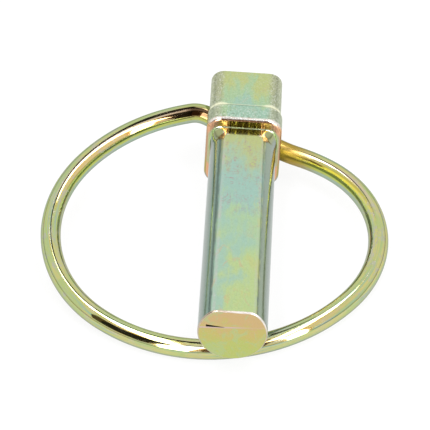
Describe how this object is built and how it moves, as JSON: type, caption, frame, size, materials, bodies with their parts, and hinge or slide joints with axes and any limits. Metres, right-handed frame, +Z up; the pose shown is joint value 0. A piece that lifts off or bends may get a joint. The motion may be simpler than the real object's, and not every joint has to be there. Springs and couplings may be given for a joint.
{
  "type": "lynch pin",
  "caption": "Forged lynch pin with a block head, a flat-topped round shank and a spring wire ring that swings in a slanted cross hole.",
  "frame": {"origin": "centre of the shoulder where the shank meets the head, on the shank's axis", "axes": "the tip points towards -Y and the head towards +Y, +X is to the right seen from the tip, and +Z is up as the part lies on a flat surface; the shank is lifted 2 degrees at its tip and rolled 4.37 degrees, as it rests on its ring"},
  "size_m": [0.057, 0.0587, 0.0148],
  "materials": {
    "pin": "forged steel, zinc plated with an iridescent yellow passivate",
    "snap_ring": "spring steel wire, zinc plated with a glossy yellow passivate"
  },
  "bodies": {
    "pin": {"pin": "pin"},
    "ring": {"snap_ring": "snap_ring"}
  },
  "joints": [
    {"name": "ring_hinge", "type": "hinge", "parent": "pin", "child": "ring", "pos_m": [-0.0001, 0.00583, -0.00148], "axis": [0.9059, -0.3452, -0.2454], "range_deg": [0, 340]}
  ]
}
